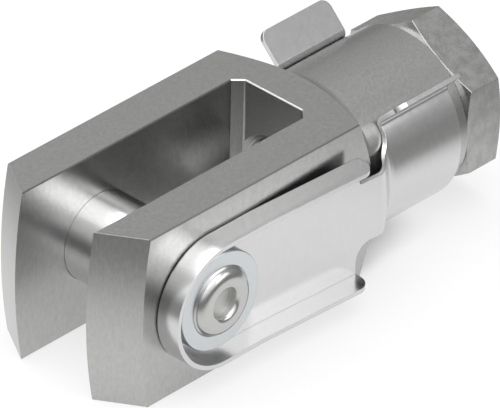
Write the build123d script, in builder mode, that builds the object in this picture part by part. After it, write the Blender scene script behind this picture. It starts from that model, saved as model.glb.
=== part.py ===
import os
from math import cos, radians, sin, sqrt, tan

from build123d import *

os.makedirs("parts", exist_ok=True)

# Rod clevis: a square fork head with a round neck, a clevis pin riveted to a folded
# spring clip that snaps round the neck, and a thin lock nut behind the neck.
# X runs along the rod, from the fork's open end (-X) to the thread (+X). The pin lies
# along Y, the clip's plate is on the -Y side and the clip opens upwards, towards +Z.
# The origin is on the pin's axis, midway between the fork's two cheeks.

# Fork head
fork_width = 20.0  # across the square bar, both ways
slot_width = 10.0
slot_reach = 20.0  # pin axis to the slot's floor
slot_corner = 1.0  # bevel in the floor's two upright corners
slot_corner_round = 0.4  # where that bevel meets the floor
front_reach = 12.0  # pin axis to the foremost line of each cheek, at the slot
front_angle = 31.0  # how far a cheek's end falls back towards its outer side
front_radius = 52.0  # bow of a cheek's end, from top to bottom
shoulder_reach = 24.45  # pin axis to the end of each side's flat, on its middle line
shoulder_angle = 30.0  # the turned shoulder leans back this far from a square face
shoulder_fillet = 1.9
edge_break = 0.12

# Neck and rod thread
neck_diameter = 18.0
neck_reach = 40.0  # pin axis to the neck's end
neck_chamfer = 0.5
thread_diameter = 10.0
thread_pitch = 1.25
mouth_chamfer = 0.75  # countersink at each outer end of a threaded hole
slot_mouth_chamfer = 0.4  # countersink at the slot's floor

# Lock nut
nut_across_flats = 17.0
nut_height = 5.0
nut_chamfer_angle = 21.0

# Clevis pin, its riveted end and the washer under it
pin_diameter = 10.0
pin_play = 0.03  # between the pin and the cheeks' holes, on the radius
pin_tail = 1.0  # how far the far end stands out of the fork
pin_tail_chamfer = 0.8
rivet_shank_diameter = 6.0
rivet_play = 0.05  # between the shank and what it holds, on the radius
rivet_diameter = 7.4
rivet_height = 0.95  # washer's face to the top of the rolled ring
rivet_wall_height = 0.32  # washer's face to where the ring rounds over
rivet_crown_diameter = 5.2  # the ring is at its full height from here inwards
rivet_hole_round = 0.6
rivet_foot_diameter = 7.9
rivet_foot_height = 0.2
rivet_hole_diameter = 3.2
rivet_hole_depth = 1.1
washer_diameter = 11.05
washer_thickness = 1.5
washer_edge_break = 0.08

# Spring clip, folded from one sheet
sheet = 0.5
cheek_play = 0.05  # between the clip's plate and the fork's cheek
neck_play = 0.05  # between the clip's wrap and the neck, on the radius
tray_diameter = 14.3  # over the rim, round the pin
tray_depth = 2.95  # plate's back to the rim's free edge
tray_fold = 0.25  # outside radius where the rim is folded up, sharp inside
arm_reach = 5.95  # pin axis to where the plate bends off the cheek
arm_lean = 3.15  # and by how much
arm_bend_radius = 15.0
rim_setback_top = 3.05  # the rim's upper end lies this far ahead of the joggle
rim_setback_bottom = 3.3  # and its lower end this far
rim_corner = 1.7  # round corner at each end of the rim
strip_top = 3.95  # the strip that joins plate and wrap reaches this far up at the plate
strip_top_wrap = 3.8  # and this far up at the wrap
strip_bottom = 3.2  # its reach down at the plate
strip_bottom_wrap = 3.7  # and at the wrap
notch_corner = 0.5  # round corner of the notch above the strip, at the rim
cut_out_corner = 2.0  # round corner of the cut-out below it, at the rim
strip_corner = 1.5  # round corners of both where the strip meets the wrap
joggle_lead = 0.6  # the strip turns in from the plate's plane this far ahead of the shoulder
joggle_length = 4.25  # from there to where it has come in to the neck
wrap_setback = 2.0  # the wrap's rear edge lies this far ahead of the neck's end
grip_angle = 38.0  # how far each side of the wrap runs up past the neck's middle
tab_angle = 45.0  # of the two thumb tabs, from level
tab_bend = 0.5  # inside radius at the foot of a tab
tab_reach = 13.57  # neck's axis to a tab's free edge, along the tab's slope
tab_corner = 1.1

half_fork = fork_width / 2
half_slot = slot_width / 2
neck_radius = neck_diameter / 2
pin_radius = pin_diameter / 2
bore_radius = (thread_diameter - 1.0825 * thread_pitch) / 2
plate_back = half_fork + cheek_play
plate_front = plate_back + sheet
wrap_radius = neck_radius + neck_play
tray_radius = tray_diameter / 2
joggle_reach = shoulder_reach - joggle_lead
wrap_start = joggle_reach + joggle_length
bar_radius = 0.75 * fork_width  # clears the square bar's corners
slot_mouth_radius = half_slot - edge_break
slot_mouth_rise = slot_mouth_radius - bore_radius - slot_mouth_chamfer


# where the shoulder's cone has this radius
def shoulder_x(radius):
    return shoulder_reach - (radius - half_fork) * tan(radians(shoulder_angle))


# Fork head: a turned blank, kept inside a square bar, then slotted and drilled
with BuildPart() as fork_head:
    front_stock = front_reach + fork_width
    with BuildSketch(Plane.XZ) as blank:
        with BuildLine():
            Polyline(
                (-front_stock, 0),
                (-front_stock, bar_radius),
                (shoulder_x(bar_radius), bar_radius),
                (shoulder_x(neck_radius), neck_radius),
                (neck_reach - neck_chamfer, neck_radius),
                (neck_reach, neck_radius - neck_chamfer),
                (neck_reach, 0),
                close=True,
            )
        make_face()
        neck_root = (shoulder_x(neck_radius), neck_radius)
        fillet(blank.vertices().sort_by_distance(neck_root)[0], shoulder_fillet)
    revolve(axis=Axis.X)
    with BuildSketch(Plane.YZ.offset(-front_stock)):
        Rectangle(fork_width, fork_width)
    extrude(amount=front_stock + neck_reach, mode=Mode.INTERSECT)

    # slot
    with BuildSketch(Plane.XY.offset(-half_fork)) as slot:
        with BuildLine():
            Polyline(
                (-front_stock, -half_slot),
                (slot_reach - slot_corner, -half_slot),
                (slot_reach, slot_corner - half_slot),
                (slot_reach, half_slot - slot_corner),
                (slot_reach - slot_corner, half_slot),
                (-front_stock, half_slot),
                close=True,
            )
        make_face()
        fillet(slot.vertices().sort_by(Axis.X)[-2:], slot_corner_round)
    extrude(amount=fork_width, mode=Mode.SUBTRACT)

    # each cheek's bowed end, cut by one arc pushed outwards and back
    front_fall = tan(radians(front_angle))
    cut_bow = front_radius - sqrt(front_radius**2 - bar_radius**2)
    cut_x = -front_reach - half_slot * front_fall
    for side in (-1, 1):
        with BuildSketch(Plane.XZ):
            with BuildLine():
                ThreePointArc(
                    (cut_x + cut_bow, -bar_radius),
                    (cut_x, 0),
                    (cut_x + cut_bow, bar_radius),
                )
                Polyline(
                    (cut_x + cut_bow, bar_radius),
                    (cut_x - front_stock, bar_radius),
                    (cut_x - front_stock, -bar_radius),
                    (cut_x + cut_bow, -bar_radius),
                )
            make_face()
        extrude(
            amount=bar_radius / cos(radians(front_angle)),
            dir=(front_fall, side, 0),
            mode=Mode.SUBTRACT,
        )

    # pin holes, then the threaded hole with a countersink at each mouth
    with BuildSketch(Plane.XZ.offset(-half_fork)):
        Circle(pin_radius + pin_play)
    extrude(amount=fork_width, mode=Mode.SUBTRACT)
    with BuildSketch(Plane.XZ):
        with BuildLine():
            Polyline(
                (slot_reach - slot_mouth_rise, 0),
                (slot_reach - slot_mouth_rise, slot_mouth_radius),
                (slot_reach + slot_mouth_chamfer, bore_radius),
                (neck_reach - mouth_chamfer, bore_radius),
                (neck_reach, bore_radius + mouth_chamfer),
                (neck_reach, 0),
                close=True,
            )
        make_face()
    revolve(axis=Axis.X, mode=Mode.SUBTRACT)
    top_and_bottom = fork_head.faces().filter_by(Axis.Z)
    chamfer(top_and_bottom.edges().filter_by(GeomType.LINE), edge_break)

fork_head.part.label = "fork_head"
export_step(fork_head.part, "parts/fork_head.step")


# Lock nut: a hexagon with both faces chamfered, points up and down, tight on the neck
with BuildPart() as lock_nut:
    nut_point = nut_across_flats / sqrt(3)
    nut_face = nut_across_flats / 2
    nut_bevel = (nut_point - nut_face) * tan(radians(nut_chamfer_angle))
    nut_end = neck_reach + nut_height
    with BuildSketch(Plane.XZ):
        with BuildLine():
            Polyline(
                (neck_reach, bore_radius + mouth_chamfer),
                (neck_reach, nut_face),
                (neck_reach + nut_bevel, nut_point),
                (nut_end - nut_bevel, nut_point),
                (nut_end, nut_face),
                (nut_end, bore_radius + mouth_chamfer),
                (nut_end - mouth_chamfer, bore_radius),
                (neck_reach + mouth_chamfer, bore_radius),
                close=True,
            )
        make_face()
    revolve(axis=Axis.X)
    with BuildSketch(Plane.YZ.offset(neck_reach)):
        RegularPolygon(nut_across_flats / 2, 6, major_radius=False, rotation=90)
    extrude(amount=nut_height, mode=Mode.INTERSECT)

lock_nut.part.label = "lock_nut"
export_step(lock_nut.part, "parts/lock_nut.step")


# Clevis pin: turned, with a stepped-down shank whose hollow end is rolled over the washer
washer_front = plate_front + washer_thickness
rivet_top = washer_front + rivet_height
tail_end = half_fork + pin_tail
with BuildPart() as clevis_pin:
    with BuildSketch(Plane.XY) as pin_half:
        with BuildLine():
            Polyline(
                (0, tail_end),
                (pin_radius - pin_tail_chamfer, tail_end),
                (pin_radius, tail_end - pin_tail_chamfer),
                (pin_radius, -plate_back),
                (rivet_shank_diameter / 2, -plate_back),
                (rivet_shank_diameter / 2, -washer_front),
                (rivet_foot_diameter / 2, -washer_front),
                (rivet_diameter / 2, -washer_front - rivet_foot_height),
                (rivet_diameter / 2, -washer_front - rivet_wall_height),
            )
            TangentArc(
                (rivet_crown_diameter / 2, -rivet_top),
                (rivet_diameter / 2, -washer_front - rivet_wall_height),
                tangent=(1, 0),
            )
            Polyline(
                (rivet_crown_diameter / 2, -rivet_top),
                (rivet_hole_diameter / 2, -rivet_top),
                (rivet_hole_diameter / 2, rivet_hole_depth - rivet_top),
                (0, rivet_hole_depth - rivet_top),
                (0, tail_end),
            )
        make_face()
        hole_lip = (rivet_hole_diameter / 2, -rivet_top)
        fillet(pin_half.vertices().sort_by_distance(hole_lip)[0], rivet_hole_round)
    revolve(axis=Axis.Y)

clevis_pin.part.label = "clevis_pin"
export_step(clevis_pin.part, "parts/clevis_pin.step")


# Washer between the clip's plate and the riveted end
with BuildPart() as rivet_washer:
    with BuildSketch(Plane.XZ.offset(plate_front)):
        Circle(washer_diameter / 2)
        Circle(rivet_shank_diameter / 2 + rivet_play, mode=Mode.SUBTRACT)
    extrude(amount=washer_thickness)
    rims = rivet_washer.edges().filter_by(GeomType.CIRCLE).group_by(SortBy.RADIUS)[-1]
    chamfer(rims, washer_edge_break)

rivet_washer.part.label = "rivet_washer"
export_step(rivet_washer.part, "parts/rivet_washer.step")


# Spring clip: a tray round the pin, a strip that steps in to the neck, a wrap open at the
# top and two thumb tabs, all folded from one sheet
tray_back = Plane.XZ.offset(plate_back)
arm_sheet = sheet / cos(radians(arm_lean))  # the leaning plate, measured along Y
arm_lift = (joggle_reach - arm_reach) * tan(radians(arm_lean))
joggle_half = strip_top_wrap + strip_corner
joggle_steps = (0.0, 0.15, 0.5, 0.85, 1.0)


# three points across the strip, this share of the way from the flat plate to the wrap
def strip_arc(share, radius, plate_y):
    blend = share**2 * (3 - 2 * share)
    edge_y = plate_y + blend * (sqrt(radius**2 - joggle_half**2) - plate_y)
    middle_y = plate_y + blend * (radius - plate_y)
    return (-edge_y, -joggle_half), (-middle_y, 0), (-edge_y, joggle_half)


with BuildPart() as spring_clip:
    # tray: one side's section turned half round the pin, then both sides' along the arm
    with BuildSketch(Plane.YZ) as rim_section:
        with BuildLine():
            Polyline(
                (-plate_back, 0),
                (-plate_back, tray_radius),
                (-plate_back - tray_depth, tray_radius),
                (-plate_back - tray_depth, tray_radius - sheet),
                (-plate_front, tray_radius - sheet),
                (-plate_front, 0),
                close=True,
            )
        make_face()
        fold = rim_section.vertices().sort_by_distance((-plate_back, tray_radius))[0]
        fillet(fold, tray_fold)
    revolve(axis=Axis.Y, revolution_arc=-180)
    with BuildSketch(Plane.YZ) as channel:
        add(rim_section.sketch_local)
        mirror(about=Plane.XZ)
    with BuildLine(Plane.XY) as arm:
        far_end = (2 * joggle_reach - arm_reach, -plate_back - 2 * arm_lift)
        FilletPolyline(
            (0, -plate_back), (arm_reach, -plate_back), far_end, radius=arm_bend_radius
        )
    sweep()
    split(bisect_by=Plane.YZ.offset(joggle_reach), keep=Keep.BOTTOM)

    # joggle: the strip steps in from the plate's plane to the neck
    for share in joggle_steps:
        with BuildSketch(Plane.YZ.offset(joggle_reach + share * joggle_length)):
            with BuildLine():
                inner = strip_arc(share, wrap_radius, plate_back + arm_lift)
                outer = strip_arc(share, wrap_radius + sheet, plate_back + arm_lift + arm_sheet)
                for bottom, middle, top in (outer, inner):
                    if share > 0:
                        ThreePointArc(bottom, middle, top)
                    else:
                        Line(bottom, top)
                Line(outer[0], inner[0])
                Line(outer[2], inner[2])
            make_face()
    loft()

    # notch above the strip and cut-out below it, cut outwards from the middle plane
    clear_z = 2 * tray_radius
    edge_cuts = (
        (rim_setback_top, clear_z, strip_top, strip_top_wrap, notch_corner),
        (rim_setback_bottom, -clear_z, -strip_bottom, -strip_bottom_wrap, cut_out_corner),
    )
    for rim_setback, far_z, plate_z, wrap_z, rim_end_corner in edge_cuts:
        rim_end = joggle_reach - rim_setback
        with BuildSketch(Plane.XZ) as edge_cut:
            with BuildLine():
                Polyline(
                    (rim_end, far_z),
                    (rim_end, plate_z),
                    (wrap_start, wrap_z),
                    (wrap_start, far_z),
                    close=True,
                )
            make_face()
            strip_foot = edge_cut.vertices().sort_by_distance((rim_end, plate_z))[0]
            fillet(strip_foot, rim_end_corner)
            strip_head = edge_cut.vertices().sort_by_distance((wrap_start, wrap_z))[0]
            fillet(strip_head, strip_corner)
        extrude(amount=plate_back + clear_z, mode=Mode.SUBTRACT)

    # wrap and thumb tabs, drawn along the middle of the sheet
    with BuildSketch(Plane.YZ.offset(wrap_start)):
        with BuildLine():
            middle_radius = wrap_radius + sheet / 2
            bend_radius = tab_bend + sheet / 2
            CenterArc((0, 0), middle_radius, 180 - grip_angle, 180 + 2 * grip_angle)
            for side in (-1, 1):
                lean = 90 - side * (90 - grip_angle)
                foot_x = (middle_radius + bend_radius) * cos(radians(lean))
                foot_y = (middle_radius + bend_radius) * sin(radians(lean))
                turn = -side * (90 + grip_angle - tab_angle)
                foot = CenterArc((foot_x, foot_y), bend_radius, lean + 180, turn)
                slant = 90 - side * (90 - tab_angle)
                along = Vector(cos(radians(slant)), sin(radians(slant)))
                PolarLine(foot @ 1, tab_reach - (foot @ 1).dot(along), slant)
        trace(line_width=sheet)
    extrude(amount=neck_reach - wrap_setback - wrap_start)
    tab_ends = spring_clip.faces().sort_by(Axis.Z)[-2:]
    fillet(tab_ends.edges().filter_by(lambda e: e.length < 2 * sheet), tab_corner)

    # rounded rim ends and the hole for the pin's shank
    rim_ends = spring_clip.edges().filter_by(Axis.Z).sort_by(Axis.Y)[:2]
    fillet(rim_ends, rim_corner)
    with BuildSketch(tray_back):
        Circle(rivet_shank_diameter / 2 + rivet_play)
    extrude(amount=sheet, mode=Mode.SUBTRACT)

spring_clip.part.label = "spring_clip"
export_step(spring_clip.part, "parts/spring_clip.step")
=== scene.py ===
import math

import bpy
import numpy as np
from mathutils import Matrix, Vector


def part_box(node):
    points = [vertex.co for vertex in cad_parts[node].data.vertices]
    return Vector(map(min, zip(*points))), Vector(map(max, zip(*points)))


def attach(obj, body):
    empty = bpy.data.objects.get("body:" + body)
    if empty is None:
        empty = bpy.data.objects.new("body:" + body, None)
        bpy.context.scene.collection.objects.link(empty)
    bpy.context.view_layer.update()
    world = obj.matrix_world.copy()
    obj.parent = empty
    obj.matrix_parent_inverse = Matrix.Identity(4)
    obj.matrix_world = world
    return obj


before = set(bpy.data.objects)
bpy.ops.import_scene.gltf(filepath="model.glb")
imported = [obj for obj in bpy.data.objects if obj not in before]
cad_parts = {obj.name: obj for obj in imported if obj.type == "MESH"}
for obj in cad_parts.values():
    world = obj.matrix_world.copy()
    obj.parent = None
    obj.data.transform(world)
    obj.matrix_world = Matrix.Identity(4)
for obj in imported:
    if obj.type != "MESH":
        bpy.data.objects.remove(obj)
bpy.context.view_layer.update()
mm = 0.001  # the settings are in millimetres, Blender works in metres
print("frame loaded:", ", ".join(sorted(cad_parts)))


# camera: stands off to the open end and the clip's side, with a long lens. Lengths are in
# millimetres and angles in degrees, here and below
cameraView = {
    "target": (9.99, -6.43, 4.38),
    "azimuth": -46.69,
    "elevation": 33.07,
    "roll": 1.04,
    "distance": 1093.7,
    "lens": 782.9,
    "sensor": 36.0,
    "clip": (100.0, 20000.0),
}


def makeCamera(view):
    azimuth = math.radians(view["azimuth"])
    elevation = math.radians(view["elevation"])
    level = math.cos(elevation)
    back = Vector((math.sin(azimuth) * level, -math.cos(azimuth) * level, math.sin(elevation)))
    right = Vector((0, 0, 1)).cross(back).normalized()
    turn = Matrix.Rotation(math.radians(view["roll"]), 3, back)
    right = turn @ right
    up = back.cross(right)
    place = Vector(view["target"]) * mm + back * view["distance"] * mm
    data = bpy.data.cameras.new("camera")
    data.lens = view["lens"]
    data.sensor_width = view["sensor"]
    data.clip_start, data.clip_end = (reach * mm for reach in view["clip"])
    camera = bpy.data.objects.new("camera", data)
    bpy.context.scene.collection.objects.link(camera)
    axes = Matrix((right, up, back)).transposed()
    camera.matrix_world = Matrix.Translation(place) @ axes.to_4x4()
    bpy.context.scene.camera = camera


makeCamera(cameraView)
bpy.context.scene.view_settings.view_transform = "Standard"
print("camera placed")


# sRGB hex to linear colour
def toLinear(hexColour):
    parts = [int(hexColour[i : i + 2], 16) / 255 for i in (1, 3, 5)]
    line = [p / 12.92 if p <= 0.04045 else ((p + 0.055) / 1.055) ** 2.4 for p in parts]
    return (*line, 1.0)


# one node with its settings and its links: a link is a socket, anything else a value
def addNode(tree, kind, settings=None, **inputs):
    node = tree.nodes.new(kind)
    for name, value in (settings or {}).items():
        setattr(node, name, value)
    for key, value in inputs.items():
        name = key.replace("_", " ").strip()
        socket = node.inputs[int(name)] if name.isdigit() else node.inputs[name]
        if isinstance(value, bpy.types.NodeSocket):
            tree.links.new(value, socket)
        else:
            socket.default_value = value
    return node


# a material with an empty tree, and the Object coordinates that its patterns read
def startMaterial(name):
    material = bpy.data.materials.new(name)
    material.use_nodes = True
    tree = material.node_tree
    tree.nodes.clear()
    place = addNode(tree, "ShaderNodeTexCoord").outputs["Object"]
    return material, tree, place


# a colour ramp's stops: a place from 0 to 1 and a linear colour for each
def setStops(ramp, stops):
    while len(ramp.elements) < len(stops):
        ramp.elements.new(0.5)
    for element, (place, colour) in zip(ramp.elements, stops):
        element.position = place
        element.color = colour


# studio: a pale matt paper floor under the object, with a painted pool of light and a painted
# shadow on it, a soft sky that is brighter at the open end, a large softbox overhead and a small
# one low in front
studio = {
    # painted pool of light: the paper's colour within it and past its faded rim
    "paperInLightPool": "#f3f3f3",
    "paperPastLightPool": "#8c8d8b",
    "paperGlow": 0.8,  # share of its own white that camera and metal see, the rest is lit
    "paperRoughness": 0.9,
    "paperRadius": 3000.0,
    "paperSides": 96,
    # half sizes of the painted pool of light on the paper, and of its faded rim
    "paintedLightPool": {"centre": (24.0, 8.0), "turn": -46.7, "inner": (27.0, 38.0), "outer": (62.0, 88.0)},
    # painted shadow: where the fork keeps the light off the paper, the paper's own white is taken
    # away
    "shade": {"centre": (24.0, 0.0), "turn": 0.0, "inner": (6.0, 7.0), "outer": (14.0, 9.5)},
    # the sky's colour by height, from 0 at the horizon to 1 overhead
    "skyStops": (
        (0.0, "#969795"),
        (0.15, "#9e9e9d"),
        (0.3, "#aaaaaa"),
        (0.6, "#bfbfbf"),
        (0.85, "#cacaca"),
    ),
    # and that of its bright side, times a level
    "sideStops": (
        (0.0, "#616262"),
        (0.16, "#808181"),
        (0.26, "#a8a8a8"),
        (0.36, "#cdcdcd"),
        (0.6, "#f2f2f2"),
    ),
    "sideLevel": 1.85,
    "sideEdge": (0.1, 0.75),  # it fades out between these values of the level direction's X
}
# lamps: where each stands, what it faces, its long side, its size and its face's radiance
softbox = {
    "place": (-40.0, 75.0, 600.0),
    "faces": (-40.0, 75.0, 0.0),
    "across": (0.0, 1.0, 0.0),
    "size": (1150.0, 680.0),
    "level": 2.1,
}
frontBox = {
    "place": (58.0, -108.0, 70.0),
    "faces": (-6.0, -49.0, 20.0),
    "across": (0.685, 0.73, 0.0),
    "size": (90.0, 44.0),
    "level": 1.8,
}


# share of a rectangular patch on the floor, for the painted pool of light and the painted shadow:
# 1 within its inner half sizes, 0 past the outer
def makePatch(tree, place, s):
    turned = addNode(
        tree,
        "ShaderNodeMapping",
        {"vector_type": "TEXTURE"},
        Vector=place,
        Location=tuple(c * mm for c in s["centre"]) + (0.0,),
        Rotation=(0.0, 0.0, math.radians(s["turn"])),
    )
    axes = addNode(tree, "ShaderNodeSeparateXYZ", Vector=turned.outputs[0])
    product = {"operation": "MULTIPLY"}
    share = 1.0
    for axis, inner, outer in zip("XY", s["inner"], s["outer"]):
        away = addNode(tree, "ShaderNodeMath", {"operation": "ABSOLUTE"}, _0=axes.outputs[axis])
        fade = addNode(
            tree,
            "ShaderNodeMapRange",
            {"interpolation_type": "SMOOTHSTEP"},
            Value=away.outputs[0],
            From_Min=inner * mm,
            From_Max=outer * mm,
            To_Min=1.0,
            To_Max=0.0,
        )
        share = addNode(tree, "ShaderNodeMath", product, _0=share, _1=fade.outputs[0]).outputs[0]
    return share


# a round sheet of paper at the fork's underside. Lamps light it, and for the camera and the metals
# it also has its own white, apart from a painted shadow under the fork. A painted pool of light
# makes it lighter near the object and darker past it
def makeFloor(s):
    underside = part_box("fork_head")[0].z
    turns = np.linspace(0, 2 * np.pi, s["paperSides"] + 1)[:-1]
    ring = np.stack([np.cos(turns), np.sin(turns), np.zeros_like(turns)], 1)
    points = ring * s["paperRadius"] * mm + (0, 0, underside)
    mesh = bpy.data.meshes.new("floor")
    mesh.from_pydata(points.tolist(), [], [list(range(len(points)))])
    floor = bpy.data.objects.new("floor", mesh)
    bpy.context.scene.collection.objects.link(floor)
    material, tree, place = startMaterial("paper_floor")
    # painted pool of light: the paper's colour fades from light near the object to darker past it
    colour = addNode(
        tree,
        "ShaderNodeMix",
        {"data_type": "RGBA"},
        Factor=makePatch(tree, place, s["paintedLightPool"]),
        _6=toLinear(s["paperPastLightPool"]),
        _7=toLinear(s["paperInLightPool"]),
    )
    paper = addNode(
        tree,
        "ShaderNodeBsdfPrincipled",
        Base_Color=colour.outputs[2],
        Roughness=s["paperRoughness"],
        Specular_IOR_Level=0.0,
    )
    white = addNode(tree, "ShaderNodeEmission", Color=colour.outputs[2], Strength=1.0)
    path = addNode(tree, "ShaderNodeLightPath")
    seen = path.outputs["Is Camera Ray"]
    for ray in ("Is Glossy Ray", "Is Transmission Ray"):
        seen = addNode(tree, "ShaderNodeMath", {"operation": "ADD"}, _0=seen, _1=path.outputs[ray])
        seen = seen.outputs[0]
    # painted shadow: under the fork the paper's own white is taken away
    glow = addNode(
        tree,
        "ShaderNodeMath",
        {"operation": "MULTIPLY_ADD"},
        _0=makePatch(tree, place, s["shade"]),
        _1=-s["paperGlow"],
        _2=s["paperGlow"],
    )
    glow = addNode(tree, "ShaderNodeMath", {"operation": "MULTIPLY"}, _0=seen, _1=glow.outputs[0])
    surface = addNode(
        tree, "ShaderNodeMixShader", Fac=glow.outputs[0], _1=paper.outputs[0], _2=white.outputs[0]
    )
    addNode(tree, "ShaderNodeOutputMaterial", Surface=surface.outputs[0])
    mesh.materials.append(material)


# a sky coloured by height. Its bright side is at the open end and fades out towards +X
def makeSky(s):
    world = bpy.data.worlds.new("studio_sky")
    bpy.context.scene.world = world
    world.use_nodes = True
    tree = world.node_tree
    tree.nodes.clear()
    direction = addNode(tree, "ShaderNodeTexCoord").outputs["Generated"]
    height = addNode(tree, "ShaderNodeSeparateXYZ", Vector=direction).outputs["Z"]
    lights = []
    for stops, strength in ((s["sideStops"], s["sideLevel"]), (s["skyStops"], 1.0)):
        ramp = addNode(tree, "ShaderNodeValToRGB", Fac=height)
        setStops(ramp.color_ramp, [(place, toLinear(colour)) for place, colour in stops])
        shine = {"Color": ramp.outputs["Color"], "Strength": strength}
        lights.append(addNode(tree, "ShaderNodeBackground", **shine).outputs[0])
    flat = addNode(
        tree, "ShaderNodeVectorMath", {"operation": "MULTIPLY"}, _0=direction, _1=(1.0, 1.0, 0.0)
    )
    level = addNode(tree, "ShaderNodeVectorMath", {"operation": "NORMALIZE"}, _0=flat.outputs[0])
    along = addNode(tree, "ShaderNodeSeparateXYZ", Vector=level.outputs[0]).outputs["X"]
    side = addNode(
        tree,
        "ShaderNodeMapRange",
        {"interpolation_type": "SMOOTHSTEP"},
        Value=along,
        From_Min=s["sideEdge"][0],
        From_Max=s["sideEdge"][1],
    )
    light = addNode(
        tree,
        "ShaderNodeMixShader",
        Fac=side.outputs["Result"],
        _1=lights[0],
        _2=lights[1],
    )
    addNode(tree, "ShaderNodeOutputWorld", Surface=light.outputs[0])


# an area lamp whose face has this radiance, turned to what it faces
def makeLamp(name, s):
    data = bpy.data.lights.new(name, "AREA")
    data.shape = "RECTANGLE"
    data.size = s["size"][0] * mm
    data.size_y = s["size"][1] * mm
    data.energy = s["level"] * math.pi * data.size * data.size_y
    lamp = bpy.data.objects.new(name, data)
    bpy.context.scene.collection.objects.link(lamp)
    lamp.visible_camera = False
    place = Vector(s["place"]) * mm
    back = (place - Vector(s["faces"]) * mm).normalized()
    across = Vector(s["across"])
    across = (across - back * back.dot(across)).normalized()
    axes = Matrix((across, back.cross(across), back)).transposed()
    lamp.matrix_world = Matrix.Translation(place) @ axes.to_4x4()


makeFloor(studio)
makeSky(studio)
makeLamp("softbox", softbox)
makeLamp("front_box", frontBox)
print("studio lit")


# rod thread: a helical ridge on the bore's wall, which runs out at each countersink
threads = {
    "neck_thread": {"node": "fork_head", "slot": "fork_steel", "body": "fork"},
    "nut_thread": {"node": "lock_nut", "slot": "nut_steel", "body": "fork"},
}
threadForm = {
    "boreRadius": 4.3234,  # of the solids
    "pitch": 1.25,
    "clearance": 0.012,  # between the thread's wall and the bore's
    "depth": 0.4,  # the ridge stands in from that wall
    "runOut": 0.25,
    "crest": 0.14,  # flat share of the pitch on the crest
    "root": 0.22,  # and in the root
    "slotFloor": 20.0,
    "slotCountersink": 0.4,
    "mouthCountersink": 0.75,
    "around": 96,  # faces round the axis
    "perPitch": 20,  # and along one turn
}


# Radius over place along the axis and angle: the bore's wall less the ridge's height. The
# ridge is a trapezoid wave of the helix phase, and runs out into the wall at both mouths.
def threadSurface(form, start, end):
    around = np.linspace(0, 2 * np.pi, form["around"] + 1)[:-1]
    rows = int((end - start) / form["pitch"] * form["perPitch"])
    along = np.linspace(start, end, rows)
    place, angle = np.meshgrid(along, around, indexing="ij")
    phase = (place / form["pitch"] + angle / (2 * np.pi)) % 1.0
    fromRidge = np.abs(phase - 0.5) * 2  # 0 in the ridge's middle, 1 in the root's
    flank = 1 - form["crest"] - form["root"]
    ridge = np.clip((1 - form["root"] - fromRidge) / flank, 0, 1)
    fade = np.clip(np.minimum(place - start, end - place) / form["runOut"], 0, 1)
    radius = form["boreRadius"] - form["clearance"] - form["depth"] * ridge * fade
    points = np.stack([place, radius * np.cos(angle), radius * np.sin(angle)], -1)
    count = form["around"]
    row, column = np.meshgrid(np.arange(rows - 1), np.arange(count), indexing="ij")
    first = row * count + column
    second = row * count + (column + 1) % count
    corners = np.stack([first, second, second + count, first + count], -1)
    return points.reshape(-1, 3) * mm, corners.reshape(-1, 4)


def makeThread(name, piece, form):
    low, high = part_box(piece["node"])
    start = low.x / mm + form["mouthCountersink"]
    if piece["node"] == "fork_head":
        start = form["slotFloor"] + form["slotCountersink"]
    points, corners = threadSurface(form, start, high.x / mm - form["mouthCountersink"])
    mesh = bpy.data.meshes.new(name)
    mesh.from_pydata(points.tolist(), [], corners.tolist())
    mesh.polygons.foreach_set("use_smooth", np.ones(len(mesh.polygons), bool))
    thread = bpy.data.objects.new(name, mesh)
    bpy.context.scene.collection.objects.link(thread)
    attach(thread, piece["body"])
    return thread


threadObjects = {name: makeThread(name, piece, threadForm) for name, piece in threads.items()}
print("threads cut:", ", ".join(threadObjects))


# finishes: a metal may have zones of another colour and gloss. A zone's share is 1 within all
# its limits and 0 elsewhere, and a limit names what is measured, where the zone has ended and
# where it is whole
def zoneShare(tree, place, limits):
    flat = addNode(
        tree, "ShaderNodeVectorMath", {"operation": "MULTIPLY"}, _0=place, _1=(1.0, 0.0, 1.0)
    )
    radius = addNode(tree, "ShaderNodeVectorMath", {"operation": "LENGTH"}, _0=flat.outputs[0])
    axes = addNode(tree, "ShaderNodeSeparateXYZ", Vector=place).outputs
    away = [addNode(tree, "ShaderNodeMath", {"operation": "ABSOLUTE"}, _0=a) for a in axes]
    measures = {
        "fromPin": radius.outputs["Value"],
        "alongPin": axes["Y"],
        "alongRod": axes["X"],
        "outwards": away[1].outputs[0],
        "upOrDown": away[2].outputs[0],
    }
    product = {"operation": "MULTIPLY"}
    share = 1.0
    for measure, ended, whole in limits:
        one = addNode(
            tree,
            "ShaderNodeMapRange",
            Value=measures[measure],
            From_Min=ended * mm,
            From_Max=whole * mm,
        )
        share = addNode(tree, "ShaderNodeMath", product, _0=share, _1=one.outputs[0]).outputs[0]
    return share


# A mottle shifts the colour and the gloss a little, waves and grain lift the surface by
# microns, and the tumbled edges are rounded over. Each finish gives the size of its mottle,
# wave and grain in millimetres, and how far all three are squeezed upright: under 1 draws
# them out into streaks. Real tumbling marks are a few hundredths of a millimetre, too fine
# to show, so the grain is drawn at 0.2 mm and more
noiseLayers = {"mottle": (2.5, 0.6), "wave": (1.0, 0.5), "grain": (2.0, 0.5)}  # detail, roughness
mottleReach = (0.2, 0.8)  # the noise's values that stand for the darkest and the lightest
bevelSamples = 6


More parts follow.
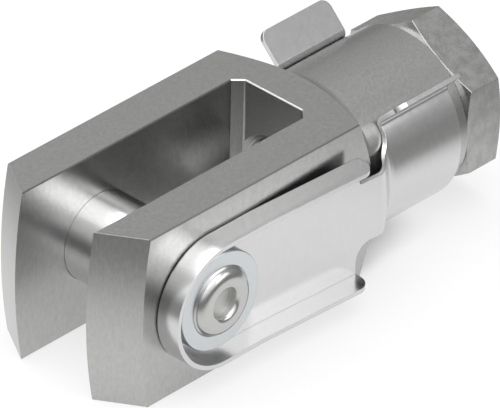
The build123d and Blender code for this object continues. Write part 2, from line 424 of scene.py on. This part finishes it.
def mottledMetal(name, s):
    material, tree, place = startMaterial(name)
    drawn = addNode(tree, "ShaderNodeMapping", Vector=place, Scale=(1.0, 1.0, s["drawn"]))
    noise = {}
    for layer, (detail, roughness) in noiseLayers.items():
        noise[layer] = addNode(
            tree,
            "ShaderNodeTexNoise",
            Vector=drawn.outputs[0],
            Scale=1 / (s[layer] * mm),
            Detail=detail,
            Roughness=roughness,
        ).outputs["Fac"]
    shade = addNode(
        tree,
        "ShaderNodeMapRange",
        Value=noise["mottle"],
        From_Min=mottleReach[0],
        From_Max=mottleReach[1],
    )
    mixColour = {"data_type": "RGBA"}
    mixNumber = {"data_type": "FLOAT"}
    colour = addNode(
        tree,
        "ShaderNodeMix",
        mixColour,
        Factor=shade.outputs["Result"],
        _6=toLinear(s["dark"]),
        _7=toLinear(s["light"]),
    ).outputs[2]
    gloss = addNode(
        tree,
        "ShaderNodeMapRange",
        Value=shade.outputs["Result"],
        To_Min=s["roughness"][0],
        To_Max=s["roughness"][1],
    ).outputs["Result"]
    for zone in s.get("zones", ()):
        share = zoneShare(tree, place, zone["limits"])
        dull = toLinear(zone["colour"])
        rough = zone["roughness"]
        colour = addNode(tree, "ShaderNodeMix", mixColour, _0=share, _6=colour, _7=dull).outputs[2]
        gloss = addNode(tree, "ShaderNodeMix", mixNumber, _0=share, _2=gloss, _3=rough).outputs[0]
    bevel = {"samples": bevelSamples}
    normal = addNode(tree, "ShaderNodeBevel", bevel, Radius=s["edge"] * mm).outputs[0]
    for layer in ("wave", "grain"):
        bump = addNode(
            tree,
            "ShaderNodeBump",
            Distance=s[layer + "Height"] * mm,
            Height=noise[layer],
            Normal=normal,
        )
        normal = bump.outputs["Normal"]
    surface = addNode(
        tree,
        "ShaderNodeBsdfPrincipled",
        Base_Color=colour,
        Metallic=1.0,
        Roughness=gloss,
        Normal=normal,
    )
    addNode(tree, "ShaderNodeOutputMaterial", Surface=surface.outputs[0])
    return material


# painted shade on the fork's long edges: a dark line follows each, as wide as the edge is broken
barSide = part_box("fork_head")[1].y / mm
forkEdgeShadeLines = {
    "slotSide": 5.0,
    "slotEnd": 19.0,  # where the slot's straight sides end
    "barEnd": 25.0,  # and the bar's
    "width": 0.12,
    "blend": 0.02,
    # colour of the painted shade lines
    "colour": "#6a6a69",
    "roughness": 0.3,
}


# the painted dark lines of shade along the top and bottom edges, which start this far out and end
# this far along the rod
def paintedEdgeShadeZone(s, inner, end):
    outer = inner + s["width"]
    level = barSide - s["width"]
    limits = (
        ("alongRod", end + s["blend"], end),
        ("outwards", inner - s["blend"], inner),
        ("outwards", outer + s["blend"], outer),
        ("upOrDown", level - s["blend"], level),
    )
    return {"limits": limits, "colour": s["colour"], "roughness": s["roughness"]}


# turned and milled bar steel, tumbled: even grey satin with faint upright streaks, a thin bright
# line where the edges are rounded, and painted shade in dark lines along the long edges
forkSteel = {
    "dark": "#adadab",
    "light": "#bababa",
    "roughness": (0.24, 0.27),
    "mottle": 0.3,
    "wave": 1.8,
    "waveHeight": 0.0012,
    "grain": 0.2,
    "grainHeight": 0.0003,
    "drawn": 0.4,
    "edge": 0.05,
    # painted shade: dark lines along the long edges
    "zones": (
        paintedEdgeShadeZone(forkEdgeShadeLines, forkEdgeShadeLines["slotSide"], forkEdgeShadeLines["slotEnd"]),
        paintedEdgeShadeZone(forkEdgeShadeLines, barSide - forkEdgeShadeLines["width"], forkEdgeShadeLines["barEnd"]),
    ),
}
# the nut's steel is pressed and tumbled longer: darker and more mottled
nutSteel = {
    "dark": "#9b9b98",
    "light": "#bababa",
    "roughness": (0.25, 0.3),
    "mottle": 1.0,
    "wave": 1.6,
    "waveHeight": 0.003,
    "grain": 0.25,
    "grainHeight": 0.0007,
    "drawn": 0.8,
    "edge": 0.12,
}
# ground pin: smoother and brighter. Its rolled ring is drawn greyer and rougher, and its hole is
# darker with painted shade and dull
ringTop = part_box("clevis_pin")[0].y / mm  # outermost place of the ring, along the pin
pinSteel = {
    "dark": "#d2d2d2",
    "light": "#d6d6d6",
    "roughness": (0.15, 0.19),
    "mottle": 0.8,
    "wave": 1.6,
    "waveHeight": 0.003,
    "grain": 0.2,
    "grainHeight": 0.0006,
    "drawn": 1.0,
    "edge": 0.1,
    "zones": (
        # the rolled ring
        {
            "limits": (("fromPin", 4.2, 4.1), ("alongPin", ringTop + 1.05, ringTop + 0.95)),
            "colour": "#bfbfbe",
            "roughness": 0.22,
        },
        # its hole, from below the lip to the bottom: painted shade darkens it, and it is dull
        {
            "limits": (
                ("fromPin", 1.77, 1.62),
                ("alongPin", ringTop + 0.3, ringTop + 0.45),
                ("alongPin", ringTop + 1.45, ringTop + 1.3),
            ),
            "colour": "#cacac8",
            "roughness": 0.5,
        },
    ),
}
# zinc plated washer: pale, faintly blue, satin
washerZinc = {
    "dark": "#c8ccce",
    "light": "#cdd1d3",
    "roughness": (0.22, 0.27),
    "mottle": 0.8,
    "wave": 1.4,
    "waveHeight": 0.003,
    "grain": 0.2,
    "grainHeight": 0.0008,
    "drawn": 1.0,
    "edge": 0.08,
}
# zinc plated spring strip: pale and even, with the rolling's faint streaks
clipZinc = {
    "dark": "#cfcfcf",
    "light": "#d4d4d4",
    "roughness": (0.2, 0.25),
    "mottle": 0.6,
    "wave": 1.8,
    "waveHeight": 0.003,
    "grain": 0.2,
    "grainHeight": 0.0008,
    "drawn": 0.5,
    "edge": 0.08,
}

finishes = {
    "fork_head": mottledMetal("tumbled_fork_steel", forkSteel),
    "lock_nut": mottledMetal("tumbled_nut_steel", nutSteel),
    "clevis_pin": mottledMetal("ground_pin_steel", pinSteel),
    "rivet_washer": mottledMetal("zinc_plated_washer", washerZinc),
    "spring_clip": mottledMetal("zinc_plated_strip", clipZinc),
}
for node, finish in finishes.items():
    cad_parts[node].data.materials[0] = finish
for name, piece in threads.items():
    threadObjects[name].data.materials.append(finishes[piece["node"]])
print("finishes on:", ", ".join(finishes))
